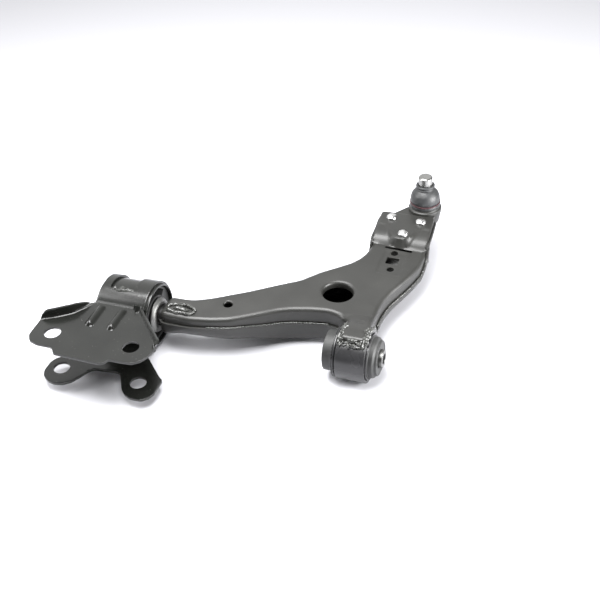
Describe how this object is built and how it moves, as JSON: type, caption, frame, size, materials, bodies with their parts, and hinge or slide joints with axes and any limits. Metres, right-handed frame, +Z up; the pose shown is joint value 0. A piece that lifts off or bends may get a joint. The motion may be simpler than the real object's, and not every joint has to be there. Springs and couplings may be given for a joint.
{
  "type": "suspension control arm",
  "caption": "Front lower suspension control arm: welded pressed-steel shells, two rubber bushes, a clamp bracket with bolt ears and a riveted ball joint with boot.",
  "frame": {"origin": "middle of the bottom of the whole part's box, on the floor it lies on", "axes": "+X forwards along both bush axes, +Y outboard towards the ball joint, +Z up along the ball stud and the bracket bolts"},
  "size_m": [0.4588, 0.49, 0.124],
  "materials": {
    "arm_coat": "satin black dip coat",
    "bracket_coat": "gloss black dip coat",
    "rubber": "matte black rubber",
    "bare_steel": "turned bright steel",
    "zinc_plate": "bright zinc plate",
    "nylon": "natural moulded nylon",
    "seal_ring": "dark red moulded ring"
  },
  "bodies": {
    "arm": {"upper_shell": "arm_coat", "lower_shell": "arm_coat", "seam_weld_front": "arm_coat", "seam_weld_outer": "arm_coat", "seam_weld_rear": "arm_coat", "front_bush_tube": "arm_coat", "front_bush_outer_sleeve": "arm_coat", "front_bush_rubber": "rubber", "tube_weld_left": "arm_coat", "tube_weld_right": "arm_coat", "tube_weld_top": "arm_coat", "rear_pin": "arm_coat", "pin_weld": "arm_coat", "rear_bush_core": "bare_steel", "ball_joint_housing": "arm_coat", "ball_joint_cap": "bare_steel", "ball_seat": "nylon", "boot": "rubber", "boot_lower_ring": "seal_ring", "rivet_1": "zinc_plate", "rivet_2": "zinc_plate", "rivet_3": "zinc_plate"},
    "rear_bracket": {"rear_bush_outer_sleeve": "bracket_coat", "rear_bush_rubber": "rubber", "bracket_upper": "bracket_coat", "bracket_lower": "bracket_coat", "bracket_back_weld": "bracket_coat", "sleeve_weld": "bracket_coat"},
    "front_sleeve": {"front_bush_inner_sleeve": "bare_steel"},
    "boot_collar": {"boot_upper_ring": "rubber"},
    "stud": {"ball_stud": "bare_steel"}
  },
  "joints": [
    {"name": "rear_bracket_turn", "type": "hinge", "parent": "arm", "child": "rear_bracket", "pos_m": [-0.1384, -0.09755, 0.047], "axis": [1, 0, 0], "range_deg": [-20, 20], "stiffness_Nm_per_rad": 60},
    {"name": "front_sleeve_turn", "type": "hinge", "parent": "arm", "child": "front_sleeve", "pos_m": [0.1801, -0.09455, 0.036], "axis": [1, 0, 0], "range_deg": [-25, 25], "stiffness_Nm_per_rad": 15},
    {"name": "stud_swing", "type": "hinge", "parent": "arm", "child": "boot_collar", "pos_m": [0.2011, 0.22045, 0.063], "axis": [1, 0, 0], "range_deg": [-20, 20], "deforming": ["boot"]},
    {"name": "stud_spin", "type": "hinge", "parent": "boot_collar", "child": "stud", "pos_m": [0.2011, 0.22045, 0.063], "axis": [0, 0, 1], "continuous": true}
  ]
}
